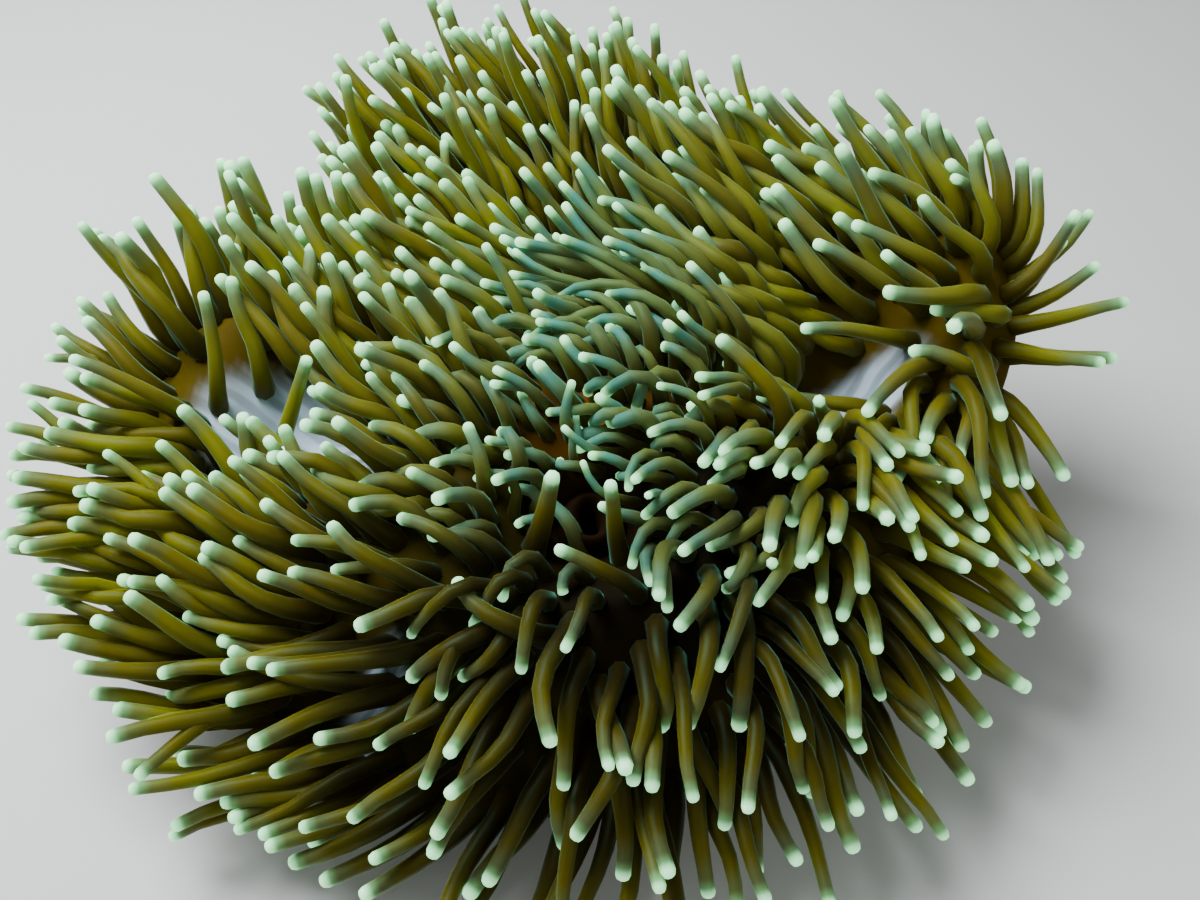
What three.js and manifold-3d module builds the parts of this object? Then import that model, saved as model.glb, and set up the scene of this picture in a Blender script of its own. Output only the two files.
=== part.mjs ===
// Magnificent sea anemone, life size: a round foot, a flaring column and a wide, wavy oral disc
// that carries finger-shaped tentacles round a small raised mouth.
// Millimetres, +Z up. The origin is the middle of the foot, on the floor.
// -Y is the animal's low front, where the disc's edge hangs down; +Y is its raised back.
import * as THREE from "three";
import { mergeVertices } from "three/addons/utils/BufferGeometryUtils.js";
import Module from "manifold-3d";

const wasm = await Module();
wasm.setup();

// ---- Driving dimensions ----
const GAP = 0.4; // between neighbouring pieces
const FOOT = { radius: 80, height: 12, edge: 5 };
const WAIST = { radius: 62, at: 0.4 }; // narrowest place, as a share of the column's height
const COLUMN_TOP = 60; // where the column meets the middle of the disc
const MOUTH = { x: -8, y: -42, radius: 17, slit: [3.2, 8], lip: 6 };
const RING_SPLIT = 0.42; // the disc's inner ring ends at this share of its width
const CREST = 104; // the disc's height before its folds
const RIM_ROLL = 16; // how far the outer edge curls down
const RIM_THICK = 6;
const LEAST_THICK = 9;

// Folds of the margin: direction from the mouth in degrees (0 is +X, 90 is the back), how far the
// edge reaches beyond FRONT_REACH, how much it is lifted, and the fold's half width in degrees.
const FRONT_REACH = 102;
const FOLDS = {
  right: { at: 38, reach: 149, lift: 42, wide: 19 },
  back_right: { at: 72, reach: 8, lift: 32, wide: 13 },
  back: { at: 102, reach: 170, lift: 44, wide: 22 },
  cleft: { at: 131, reach: -52, lift: -14, wide: 8 },
  left_back: { at: 146, reach: 26, lift: 24, wide: 11 },
  left: { at: 163, reach: 110, lift: 10, wide: 20 },
  left_low: { at: 197, reach: 46, lift: -22, wide: 16 },
  front_left: { at: 226, reach: 14, lift: -12, wide: 15 },
  front: { at: 262, reach: 8, lift: -46, wide: 44 },
  right_low: { at: 348, reach: 38, lift: -28, wide: 22 },
};
// Swellings (up) and hollows (down) of the disc's upper face.
const RELIEF = {
  crown: { x: 6, y: -2, up: 30, wide: 66 },
  mouth_pit: { x: MOUTH.x, y: MOUTH.y, up: -34, wide: 23 },
  left_hollow: { x: -149, y: 11, up: -30, wide: 24 },
  right_hollow: { x: 112, y: 38, up: -40, wide: 26 },
  low_hollow: { x: -112, y: -108, up: -16, wide: 20 },
  back_hollow: { x: -5, y: 128, up: -20, wide: 26 },
  right_swell: { x: 178, y: 100, up: 16, wide: 38 },
};
// Bare floors of the hollows, where no tentacle grows: half length, half width and turn.
const BARE = [
  { x: -148, y: 14, long: 42, wide: 25, turn: -15 },
  { x: 116, y: 42, long: 34, wide: 14, turn: 20 },
  { x: -104, y: -104, long: 20, wide: 9, turn: 60 },
  { x: 0, y: 118, long: 16, wide: 7, turn: 0 },
];
const THINNED = { within: 2.2, share: 0.4 }; // fewer stand beside a bare floor
// And fewer in these patches, with the share missing there: most in the dark pit below the mouth.
const SPARSE = {
  pit: { x: 26, y: -56, wide: 40, missing: 0.34 },
  front_left: { x: -80, y: -90, wide: 36, missing: 0.26 },
  front: { x: 20, y: -112, wide: 40, missing: 0.08 },
};
// Where they are shorter, and the share of their length lost there.
const SHORTER = {
  mouth: { x: -8, y: -42, wide: 30, lost: 0.2 },
  under_hollow: { x: 112, y: -24, wide: 26, lost: 0.25 },
  low_right: { x: 84, y: -62, wide: 32, lost: 0.26 },
  below_left: { x: -132, y: -24, wide: 24, lost: 0.28 },
  right_tip: { x: 215, y: 80, wide: 34, lost: 0.35 },
  left_tip: { x: -230, y: 0, wide: 30, lost: 0.2 },
};
// Which way the tentacles sway: heading and rise in degrees, felt over a round patch.
const SWAY = {
  left_tip: { x: -222, y: 10, heading: 176, rise: 28, wide: 24 },
  left_tip_low: { x: -212, y: -22, heading: 195, rise: 6, wide: 24 },
  left_tip_high: { x: -215, y: 35, heading: 160, rise: 44, wide: 22 },
  left_high: { x: -195, y: 75, heading: 115, rise: 52, wide: 26 },
  left: { x: -174, y: 0, heading: 168, rise: 34, wide: 20 },
  left_upright: { x: -166, y: 42, heading: 96, rise: 56, wide: 20 },
  left_back: { x: -128, y: 85, heading: 130, rise: 52, wide: 26 },
  left_inner: { x: -100, y: 20, heading: 150, rise: 36, wide: 24 },
  back_left: { x: -60, y: 150, heading: 143, rise: 48, wide: 34 },
  back_left_inner: { x: -68, y: 88, heading: 152, rise: 40, wide: 26 },
  back: { x: -25, y: 205, heading: 140, rise: 50, wide: 32 },
  back_right: { x: 22, y: 190, heading: 106, rise: 60, wide: 30 },
  back_far_right: { x: 62, y: 185, heading: 108, rise: 55, wide: 28 },
  back_low: { x: 25, y: 118, heading: 130, rise: 38, wide: 26 },
  crown_left: { x: -45, y: 55, heading: 156, rise: 32, wide: 22 },
  crown: { x: 10, y: 72, heading: 172, rise: 18, wide: 26 },
  crown_right: { x: 52, y: 28, heading: 150, rise: 28, wide: 22 },
  right_inner: { x: 86, y: 56, heading: 148, rise: 28, wide: 22 },
  right_flow: { x: 130, y: 84, heading: 152, rise: 24, wide: 28 },
  right_flow_far: { x: 165, y: 100, heading: 138, rise: 34, wide: 24 },
  right_rim: { x: 176, y: 128, heading: 112, rise: 55, wide: 22 },
  right_tip: { x: 214, y: 96, heading: 22, rise: 40, wide: 22 },
  right_edge: { x: 205, y: 56, heading: -6, rise: 10, wide: 18 },
  right_inside: { x: 176, y: 70, heading: 192, rise: 6, wide: 12 },
  right_hollow_side: { x: 158, y: 30, heading: -105, rise: -5, wide: 18 },
  right_low_edge: { x: 168, y: -8, heading: -48, rise: -12, wide: 24 },
  right_low: { x: 146, y: -56, heading: -32, rise: -2, wide: 26 },
  right_low_inner: { x: 104, y: -44, heading: -80, rise: 40, wide: 20 },
  under_hollow: { x: 128, y: -6, heading: -88, rise: 42, wide: 16 },
  front_right: { x: 108, y: -96, heading: -60, rise: -12, wide: 26 },
  front_mid_right: { x: 66, y: -116, heading: -72, rise: -12, wide: 26 },
  front: { x: 12, y: -122, heading: -88, rise: -16, wide: 26 },
  front_mid_left: { x: -30, y: -120, heading: -125, rise: -8, wide: 26 },
  front_left: { x: -66, y: -108, heading: -152, rise: 2, wide: 22 },
  left_low_edge: { x: -126, y: -108, heading: -148, rise: 4, wide: 24 },
  left_low: { x: -146, y: -84, heading: 176, rise: 26, wide: 26 },
  mid_left_low: { x: -90, y: -80, heading: 164, rise: 26, wide: 22 },
  mid_left: { x: -136, y: -50, heading: 146, rise: 38, wide: 24 },
  inner_left: { x: -56, y: -52, heading: 158, rise: 32, wide: 22 },
  inner_right: { x: 48, y: -40, heading: -150, rise: 6, wide: 24 },
  inner_low_right: { x: 80, y: -34, heading: -120, rise: 30, wide: 18 },
  mouth: { x: -8, y: -42, heading: 140, rise: 55, wide: 16 },
  below_mouth: { x: -8, y: -94, heading: -105, rise: 12, wide: 16 },
  below_mouth_right: { x: 36, y: -90, heading: -60, rise: 20, wide: 18 },
};
// Some stand alone, by the hollows and round the pit.
const LONE = {
  left_upright: { x: -167, y: 33, heading: 113, rise: 55, long: 62 },
  left_upright_far: { x: -154, y: 42, heading: 80, rise: 50, long: 70 },
  left_upright_near: { x: -186, y: 20, heading: 100, rise: 60, long: 60 },
  left_bow: { x: -162, y: -4, heading: 45, rise: 56, long: 68 },
  left_sweep: { x: -179, y: -4, heading: 184, rise: 6, long: 78 },
  left_sweep_far: { x: -191, y: -10, heading: 180, rise: 12, long: 76 },
  left_short: { x: -160, y: -13, heading: 118, rise: 60, long: 40 },
  right_hook: { x: 84, y: 0, heading: 150, rise: 45, long: 60 },
  hollow_floor: { x: 136, y: 28, heading: 178, rise: 0, long: 50 },
  right_inner_rim: { x: 184, y: 40, heading: 182, rise: 10, long: 50 },
  right_inner_rim_far: { x: 189, y: 60, heading: 195, rise: 10, long: 50 },
  right_drop: { x: 160, y: 20, heading: 242, rise: 10, long: 38 },
  right_drop_near: { x: 171, y: 20, heading: 248, rise: 4, long: 38 },
  right_wall: { x: 166, y: 74, heading: 165, rise: 24, long: 60 },
  right_wall_near: { x: 168, y: 56, heading: 170, rise: 38, long: 56 },
  pit_left: { x: -32, y: -60, heading: 60, rise: 75, long: 42 },
  pit_middle: { x: 5, y: -64, heading: 130, rise: 70, long: 42 },
  pit_low: { x: 13, y: -88, heading: 170, rise: 40, long: 46 },
  pit_low_left: { x: -20, y: -104, heading: 170, rise: 30, long: 54 },
  front_upright: { x: -4, y: -116, heading: -80, rise: 25, long: 52 },
  front_leaning: { x: -34, y: -106, heading: -125, rise: 10, long: 60 },
  inner_hook: { x: 72, y: 4, heading: 195, rise: 30, long: 44 },
};
const LONE_NUMBERS = 4000;
const LONE_ROOM = 9; // no other root stands this close to theirs
const HOOKED = { x: 5, y: -30, wide: 50 }; // round the mouth they stand up and bend late
const SPIRAL = { step: 4.65, power: 0.55, count: 2400 }; // the power sets how they thin outwards
const RIM_INSET = 11; // the spiral ends this far inside the edge, where the edge's own row stands
const EDGE_ROW = { inset: 5, step: 7.6, numbers: 3000 };
const TENTACLE = { long: 66, short: 38, root: 5.6, tip: 2.9, buried: 6, sides: 5 };
// This model carries a share of them, each well clear of its sector's cuts, of the others and of
// the floor, and straightened as little as that takes.
const KEEP_EVERY = { edge: 3, middle: 11, edge_within: 32 };
const CLEAR = { of_cuts: 0.8, of_others: 1.8, of_floor: 5.4 };
const STRAIGHTENED = [0, 0.15, 0.35, 0.7];
const LINE_STEPS = 10;
const FINGER_STATIONS = [0, 0.5, 0.92]; // where a finger has a ring of points; its tip is a point

const SECTION_STEP = 9; // degrees between the disc's sections
const COLUMN_SIDES = 24;
const INNER_RING = ["right", "back", "left", "front"];
const OUTER_RING = [
  "right",
  "right_back",
  "back",
  "left_back",
  "left",
  "left_low",
  "front",
  "front_right",
];
const SECTORS_START = FOLDS.cleft.at - 135; // so that the cleft is where two sectors meet

const COLOURS = { tentacles: "#7a7130", column: "#8d7358", foot: "#a08a70", mouth: "#9a8f6a" };
const finish = (colour) =>
  new THREE.MeshStandardMaterial({ color: colour, roughness: 0.45, metalness: 0 });
const FLESH = finish(COLOURS.tentacles);

// ---- Small helpers ----
const rad = THREE.MathUtils.degToRad;
const fraction = (x) => x - Math.floor(x);
const chance = (k, salt) => fraction(Math.sin(k * 12.9898 + salt * 78.233) * 43758.5453);
const swell = (dx, dy, wide) => Math.exp(-(dx * dx + dy * dy) / (2 * wide * wide));
const wrap = (degrees) => THREE.MathUtils.euclideanModulo(degrees, 360);
const degreesAfter = (from, angle) => wrap(THREE.MathUtils.radToDeg(angle) - from);
function ease(from, to, x) {
  const t = Math.min(1, Math.max(0, (x - from) / (to - from)));
  return t * t * (3 - 2 * t);
}

// ---- The disc's form ----
// The sum of the folds' reach or lift in one direction from the mouth.
function folds(angle, what) {
  let sum = 0;
  for (const fold of Object.values(FOLDS)) {
    const off = degreesAfter(fold.at - 180, angle) - 180;
    sum += fold[what] * swell(off, 0, fold.wide);
  }
  return sum;
}
const rimRadius = (angle) => FRONT_REACH + folds(angle, "reach");

// A point of the plan as its direction from the mouth and its share of the disc's width there.
function discPlace(x, y) {
  const angle = Math.atan2(y - MOUTH.y, x - MOUTH.x);
  const away = Math.hypot(x - MOUTH.x, y - MOUTH.y);
  return { angle, away, share: (away - MOUTH.radius) / (rimRadius(angle) - MOUTH.radius) };
}

function topHeight(x, y) {
  const { angle, share } = discPlace(x, y);
  let z = CREST + folds(angle, "lift") * ease(0.3, 1, share) - RIM_ROLL * ease(0.8, 1, share) ** 2;
  for (const r of Object.values(RELIEF)) z += r.up * swell(x - r.x, y - r.y, r.wide);
  return z;
}

function topNormal(x, y) {
  const dx = (topHeight(x + 1, y) - topHeight(x - 1, y)) / 2;
  const dy = (topHeight(x, y + 1) - topHeight(x, y - 1)) / 2;
  return new THREE.Vector3(-dx, -dy, 1).normalize();
}

function planPoint(angle, share) {
  const away = MOUTH.radius + share * (rimRadius(angle) - MOUTH.radius);
  return [MOUTH.x + away * Math.cos(angle), MOUTH.y + away * Math.sin(angle)];
}

// The disc's lower face: flat over the column, then rising or falling to the thin edge.
function underHeight(angle, share) {
  if (share <= RING_SPLIT) return COLUMN_TOP;
  const edge = topHeight(...planPoint(angle, 1)) - RIM_THICK;
  const slope = COLUMN_TOP + (edge - COLUMN_TOP) * ease(RING_SPLIT, 1, share);
  const thick = THREE.MathUtils.lerp(LEAST_THICK, RIM_THICK, ease(0.8, 1, share));
  return Math.min(slope, topHeight(...planPoint(angle, share)) - thick);
}

// A box bent to one sector of the disc, from one share of its width to another.
function sectorGeometry(fromDegrees, columns, fromShare, toShare, rows) {
  const box = new THREE.BoxGeometry(1, 1, 1, columns, rows, 1);
  const at = box.getAttribute("position");
  for (let i = 0; i < at.count; i++) {
    const across = 0.5 - at.getX(i);
    const out = at.getY(i) + 0.5;
    const angle = rad(fromDegrees + across * columns * SECTION_STEP);
    const share = THREE.MathUtils.lerp(fromShare, toShare, out);
    let [x, y] = planPoint(angle, share);
    const z = at.getZ(i) > 0 ? topHeight(x, y) : underHeight(angle, share);
    // The cuts between pieces: sideways on the sector's two sides, in and out on its ends.
    const aside = (across < 0.001 ? 1 : across > 0.999 ? -1 : 0) * (GAP / 2);
    const along = (out < 0.001 ? 1 : toShare < 1 && out > 0.999 ? -1 : 0) * (GAP / 2);
    x += -Math.sin(angle) * aside + Math.cos(angle) * along;
    y += Math.cos(angle) * aside + Math.sin(angle) * along;
    at.setXYZ(i, x, y, z);
  }
  return box;
}

// ---- The tentacles ----
function direction(heading, rise) {
  const level = Math.cos(rad(rise));
  const [east, north] = [level * Math.cos(rad(heading)), level * Math.sin(rad(heading))];
  return new THREE.Vector3(east, north, Math.sin(rad(rise)));
}

function swayAt(x, y) {
  const sum = new THREE.Vector3();
  for (const s of Object.values(SWAY)) {
    sum.addScaledVector(direction(s.heading, s.rise), swell(x - s.x, y - s.y, s.wide) + 1e-9);
  }
  return sum.normalize();
}

// How far a place is from the nearest hollow's middle; 1 is the edge of its bare floor.
function hollowDistance(x, y) {
  const distances = BARE.map((b) => {
    const [c, s] = [Math.cos(rad(b.turn)), Math.sin(rad(b.turn))];
    const along = ((x - b.x) * c + (y - b.y) * s) / b.long;
    const across = (-(x - b.x) * s + (y - b.y) * c) / b.wide;
    return Math.hypot(along, across);
  });
  return Math.min(...distances);
}

// The height of a sector's flat facets under a point, which its tentacles grow from.
function facetHeight(sector, x, y) {
  const { angle, share } = discPlace(x, y);
  const across = degreesAfter(sector.from, angle) / SECTION_STEP;
  const out = ((share - sector.fromShare) / (sector.toShare - sector.fromShare)) * sector.rows;
  const corner = (column, row) => {
    const cornerShare = THREE.MathUtils.lerp(sector.fromShare, sector.toShare, row / sector.rows);
    return topHeight(...planPoint(rad(sector.from + column * SECTION_STEP), cornerShare));
  };
  const [column, row] = [Math.floor(across), Math.floor(out)];
  const { lerp } = THREE.MathUtils;
  const near = lerp(corner(column, row), corner(column + 1, row), across - column);
  const far = lerp(corner(column, row + 1), corner(column + 1, row + 1), across - column);
  return lerp(near, far, out - row);
}

function edgePoint(angle) {
  const [x, y] = planPoint(angle, 1 - EDGE_ROW.inset / (rimRadius(angle) - MOUTH.radius));
  return new THREE.Vector3(x, y, topHeight(x, y));
}

// Roots on a sunflower spiral, numbered outwards, and in an even row along the edge.
function* places() {
  const golden = Math.PI * (3 - Math.sqrt(5));
  for (let k = 0; k < SPIRAL.count; k++) {
    const away = SPIRAL.step * (k + 0.5) ** SPIRAL.power;
    const [x, y] = [away * Math.cos(k * golden), away * Math.sin(k * golden)];
    const { angle, share } = discPlace(x, y);
    const inset = (1 - share) * (rimRadius(angle) - MOUTH.radius);
    if (share > 0 && inset > RIM_INSET) yield { k, x, y };
  }
  let k = EDGE_ROW.numbers;
  for (let angle = 0; angle < 2 * Math.PI; k++) {
    const here = edgePoint(angle);
    yield { k, x: here.x, y: here.y };
    angle += (EDGE_ROW.step * 0.01) / here.distanceTo(edgePoint(angle + 0.01));
  }
}

// The places that carry a tentacle: none on the bare floors, and few beside them.
function* seeds() {
  for (const { k, x, y } of places()) {
    const { angle, share } = discPlace(x, y);
    const hollow = hollowDistance(x, y);
    let thinned = THINNED.share * ease(THINNED.within, 1, hollow);
    for (const s of Object.values(SPARSE)) thinned += s.missing * swell(x - s.x, y - s.y, s.wide);
    const fromEdge = (1 - share) * (rimRadius(angle) - MOUTH.radius);
    const isFree = Object.values(LONE).every((l) => Math.hypot(x - l.x, y - l.y) > LONE_ROOM);
    if (hollow >= 1 && chance(k, 11) >= thinned && isFree) yield { k, x, y, share, fromEdge };
  }
  let k = LONE_NUMBERS;
  for (const lone of Object.values(LONE)) {
    const { angle, share } = discPlace(lone.x, lone.y);
    const fromEdge = (1 - share) * (rimRadius(angle) - MOUTH.radius);
    yield { k, x: lone.x, y: lone.y, share, fromEdge, lone };
    k += 1;
  }
}

// How long a tentacle is: shorter round the mouth, and a little different each.
function tentacleLength({ k, x, y, share, lone }) {
  if (lone) return lone.long;
  let length = THREE.MathUtils.lerp(TENTACLE.short, TENTACLE.long, ease(0.1, 0.55, share));
  length *= 0.78 + 0.44 * chance(k, 6);
  for (const s of Object.values(SHORTER)) length *= 1 - s.lost * swell(x - s.x, y - s.y, s.wide);
  return length;
}

// A tentacle's middle line: it leaves the disc nearly upright and bends over to the sway.
// straighten holds it closer to upright, from 0 to 1.
function tentacleLine(seed, rootHeight, straighten) {
  const { k, x, y, lone } = seed;
  const up = topNormal(x, y);
  const jitter = new THREE.Vector3(chance(k, 1) - 0.5, chance(k, 2) - 0.5, chance(k, 3) - 0.5);
  const hooked = lone ? 0 : swell(x - HOOKED.x, y - HOOKED.y, HOOKED.wide);
  const sway = lone ? direction(lone.heading, lone.rise) : swayAt(x, y);
  sway.addScaledVector(jitter, lone ? 0.12 : 0.42 + 0.65 * hooked).normalize();
  const start = new THREE.Vector3()
    .addScaledVector(up, 1.3 - 0.6 * ease(-60, -110, y) + straighten)
    .addScaledVector(sway, 0.6)
    .addScaledVector(jitter, 0.2)
    .normalize();
  const end = new THREE.Vector3()
    .addScaledVector(sway, 1.35)
    .addScaledVector(start, -0.35)
    .addScaledVector(up, 2 * straighten)
    .normalize();
  const step = (tentacleLength(seed) + TENTACLE.buried) / LINE_STEPS;
  const points = [new THREE.Vector3(x, y, rootHeight).addScaledVector(up, -TENTACLE.buried)];
  for (let i = 0; i < LINE_STEPS; i++) {
    const turn = ease(0.4 * hooked, 0.6 + 0.25 * hooked, (i + 0.5) / LINE_STEPS);
    const way = start.clone().lerp(end, turn).normalize();
    points.push(points[i].clone().addScaledVector(way, step));
  }
  return points;
}

const tentacleRadius = (t) => THREE.MathUtils.lerp(TENTACLE.root, TENTACLE.tip, t);

// A lathed finger bent along the tentacle's line.
function tentacleGeometry(points) {
  const profile = [new THREE.Vector2(0, 0)];
  for (const t of FINGER_STATIONS) profile.push(new THREE.Vector2(tentacleRadius(t), t));
  profile.push(new THREE.Vector2(0, 1));
  const finger = new THREE.LatheGeometry(profile, TENTACLE.sides);
  const curve = new THREE.CatmullRomCurve3(points);
  const at = finger.getAttribute("position");
  const frames = new Map();
  const side = new THREE.Vector3().subVectors(points[1], points[0]).cross(new THREE.Vector3(0, 1, 0.3));
  for (let i = 0; i < at.count; i++) {
    const t = at.getY(i);
    if (!frames.has(t)) {
      const along = curve.getTangent(t);
      const across = side.clone().addScaledVector(along, -side.dot(along)).normalize();
      frames.set(t, { middle: curve.getPoint(t), across, over: along.clone().cross(across) });
    }
    const { middle, across, over } = frames.get(t);
    const p = middle.clone().addScaledVector(across, at.getZ(i)).addScaledVector(over, at.getX(i));
    at.setXYZ(i, p.x, p.y, p.z);
  }
  return finger;
}

// ---- Solids ----
function solid(geometry) {
  const bare = new THREE.BufferGeometry();
  bare.setAttribute("position", geometry.getAttribute("position"));
  bare.setIndex(geometry.getIndex());
  const merged = mergeVertices(bare, 1e-4);
  const mesh = new wasm.Mesh({
    numProp: 3,
    vertProperties: new Float32Array(merged.getAttribute("position").array),
    triVerts: new Uint32Array(merged.getIndex().array),
  });
  return new wasm.Manifold(mesh);
}

function geometryOf(manifold) {
  const { numProp, vertProperties, triVerts } = manifold.getMesh();
  const positions = [];
  for (let i = 0; i < vertProperties.length; i += numProp) {
    positions.push(vertProperties[i], vertProperties[i + 1], vertProperties[i + 2]);
  }
  const geometry = new THREE.BufferGeometry();
  geometry.setAttribute("position", new THREE.Float32BufferAttribute(positions, 3));
  geometry.setIndex([...triVerts]);
  return geometry.toNonIndexed();
}

// ---- Building the animal ----
const anemone = new THREE.Group();
function addNode(name, geometry, material) {
  const mesh = new THREE.Mesh(geometry, material);
  mesh.name = name;
  anemone.add(mesh);
}

// The sectors of both rings, each with its place in the disc.
function ringSectors(names, prefix, fromShare, toShare, rows) {
  const columns = 360 / SECTION_STEP / names.length;
  return names.map((name, i) => {
    const from = SECTORS_START + i * columns * SECTION_STEP;
    return { name: prefix + name, from, columns, fromShare, toShare, rows, lines: [] };
  });
}
const sectors = [
  ...ringSectors(INNER_RING, "disc_", 0, RING_SPLIT, 3),
  ...ringSectors(OUTER_RING, "lobe_", RING_SPLIT, 1, 5),
];

function sectorOf(x, y) {
  const { angle, share } = discPlace(x, y);
  if (share < 0 || share > 1) return null;
  return sectors.find((s) => {
    const off = degreesAfter(s.from, angle);
    return off < s.columns * SECTION_STEP && share >= s.fromShare && share < s.toShare;
  });
}

// How far a point of the plan is from its sector's own cuts.
function distanceToCuts(sector, x, y) {
  const { angle, away, share } = discPlace(x, y);
  const width = rimRadius(angle) - MOUTH.radius;
  const off = degreesAfter(sector.from, angle);
  const sideways = Math.min(off, sector.columns * SECTION_STEP - off);
  const ends = [share - sector.fromShare, sector.toShare === 1 ? 1 : sector.toShare - share];
  return Math.min(away * Math.sin(rad(Math.min(sideways, 90))), ...ends.map((e) => e * width));
}

// Whether a tentacle keeps to its own sector until it is well above the disc, and stays clear of
// the floor, the mouth and the other sectors' tentacles.
function isClear(sector, line) {
  const taken = sectors.filter((other) => other !== sector).flatMap((other) => other.lines.flat());
  const samples = new THREE.CatmullRomCurve3(line).getPoints(3 * line.length);
  return samples.every((p, i) => {
    const radius = tentacleRadius(i / (samples.length - 1));
    const below = sectorOf(p.x, p.y);
    const above = below ? p.z - facetHeight(below, p.x, p.y) : Infinity;
    const isLow = above * topNormal(p.x, p.y).z < radius + CLEAR.of_others;
    const isInside = below === sector && distanceToCuts(sector, p.x, p.y) > radius;
    const touches = taken.some((q) => p.distanceTo(q) < 2 * TENTACLE.root + CLEAR.of_others);
    return p.z > radius + CLEAR.of_floor && (!isLow || isInside) && !touches;
  });
}

for (const seed of seeds()) {
  const every = seed.fromEdge < KEEP_EVERY.edge_within ? KEEP_EVERY.edge : KEEP_EVERY.middle;
  if (seed.k % every) continue;
  const sector = sectorOf(seed.x, seed.y);
  if (distanceToCuts(sector, seed.x, seed.y) < TENTACLE.root + CLEAR.of_cuts) continue;
  const rootHeight = facetHeight(sector, seed.x, seed.y);
  for (const straighten of STRAIGHTENED) {
    const line = tentacleLine(seed, rootHeight, straighten);
    if (isClear(sector, line)) {
      sector.lines.push(line);
      break;
    }
  }
}

for (const s of sectors) {
  let body = solid(sectorGeometry(s.from, s.columns, s.fromShare, s.toShare, s.rows));
  for (const line of s.lines) body = body.add(solid(tentacleGeometry(line)));
  addNode(s.name, geometryOf(body), FLESH);
}

// The column: a lofted funnel from the round foot up to the outline of the disc's inner ring.
function columnGeometry(fromHeight, toHeight, rows) {
  const tube = new THREE.CylinderGeometry(1, 1, 1, COLUMN_SIDES, rows);
  const at = tube.getAttribute("position");
  for (let i = 0; i < at.count; i++) {
    const z = THREE.MathUtils.lerp(fromHeight, toHeight, at.getY(i) + 0.5);
    const rise = (z - FOOT.height) / (COLUMN_TOP - FOOT.height);
    const angle = Math.atan2(-at.getZ(i), at.getX(i)) + rad(SECTORS_START);
    const isAxis = Math.hypot(at.getX(i), at.getZ(i)) < 0.5;
    const [topX, topY] = planPoint(angle, RING_SPLIT);
    const waist = THREE.MathUtils.lerp(FOOT.radius - FOOT.edge, WAIST.radius, ease(0, WAIST.at, rise));
    const flare = ease(WAIST.at, 1, rise) * ease(WAIST.at, 1, rise);
    const x = THREE.MathUtils.lerp(waist * Math.cos(angle), topX - Math.cos(angle), flare);
    const y = THREE.MathUtils.lerp(waist * Math.sin(angle), topY - Math.sin(angle), flare);
    at.setXYZ(i, isAxis ? MOUTH.x * flare : x, isAxis ? MOUTH.y * flare : y, z);
  }
  return tube;
}
const COLUMN_SPLIT = 34;
addNode("column_lower", columnGeometry(FOOT.height + GAP, COLUMN_SPLIT, 2), finish(COLOURS.column));
addNode("column_upper", columnGeometry(COLUMN_SPLIT + GAP, COLUMN_TOP - GAP, 3), finish(COLOURS.column));

// The foot: a flat sole with a rounded edge.
const sole = [
  new THREE.Vector2(0, 0),
  new THREE.Vector2(FOOT.radius - 2, 0),
  new THREE.Vector2(FOOT.radius, 3),
  new THREE.Vector2(FOOT.radius - 1, FOOT.height - 4),
  new THREE.Vector2(FOOT.radius - FOOT.edge, FOOT.height),
  new THREE.Vector2(0, FOOT.height),
];
const foot = new THREE.LatheGeometry(sole, COLUMN_SIDES).rotateX(Math.PI / 2);
addNode("pedal_disc", foot, finish(COLOURS.foot));

// The mouth: puffed lips round a narrow slit that goes down the throat.
function mouthGeometry() {
  const outer = MOUTH.radius - GAP;
  const lipTop = topHeight(MOUTH.x + MOUTH.radius, MOUTH.y) + MOUTH.lip;
  const floor = COLUMN_TOP + 6;
  // Each point of the section: share of the way from the slit to the outer wall, and height.
  const section = [
    [1, COLUMN_TOP],
    [1, lipTop - MOUTH.lip - 1],
    [0.8, lipTop - 4],
    [0.5, lipTop],
    [0.25, lipTop - 1.5],
    [0, lipTop - 6],
    [0, floor],
  ].map(([out, z]) => new THREE.Vector2(out + 1, z));
  const profile = [new THREE.Vector2(0, COLUMN_TOP), ...section, new THREE.Vector2(0, floor)];
  const lips = new THREE.LatheGeometry(profile, 14);
  const at = lips.getAttribute("position");
  for (let i = 0; i < at.count; i++) {
    const radius = Math.hypot(at.getX(i), at.getZ(i));
    const angle = Math.atan2(-at.getZ(i), at.getX(i));
    const out = radius - 1;
    const wide = THREE.MathUtils.lerp(MOUTH.slit[0], outer, Math.max(out, 0));
    const long = THREE.MathUtils.lerp(MOUTH.slit[1], outer, Math.max(out, 0));
    const scale = radius < 0.5 ? 0 : 1;
    const x = MOUTH.x + scale * wide * Math.cos(angle);
    const y = MOUTH.y + scale * long * Math.sin(angle);
    at.setXYZ(i, x, y, at.getY(i));
  }
  return lips;
}
addNode("mouth", mouthGeometry(), finish(COLOURS.mouth));

export default anemone;
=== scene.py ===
import math

import bpy
import numpy as np
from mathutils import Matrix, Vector, kdtree


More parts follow.
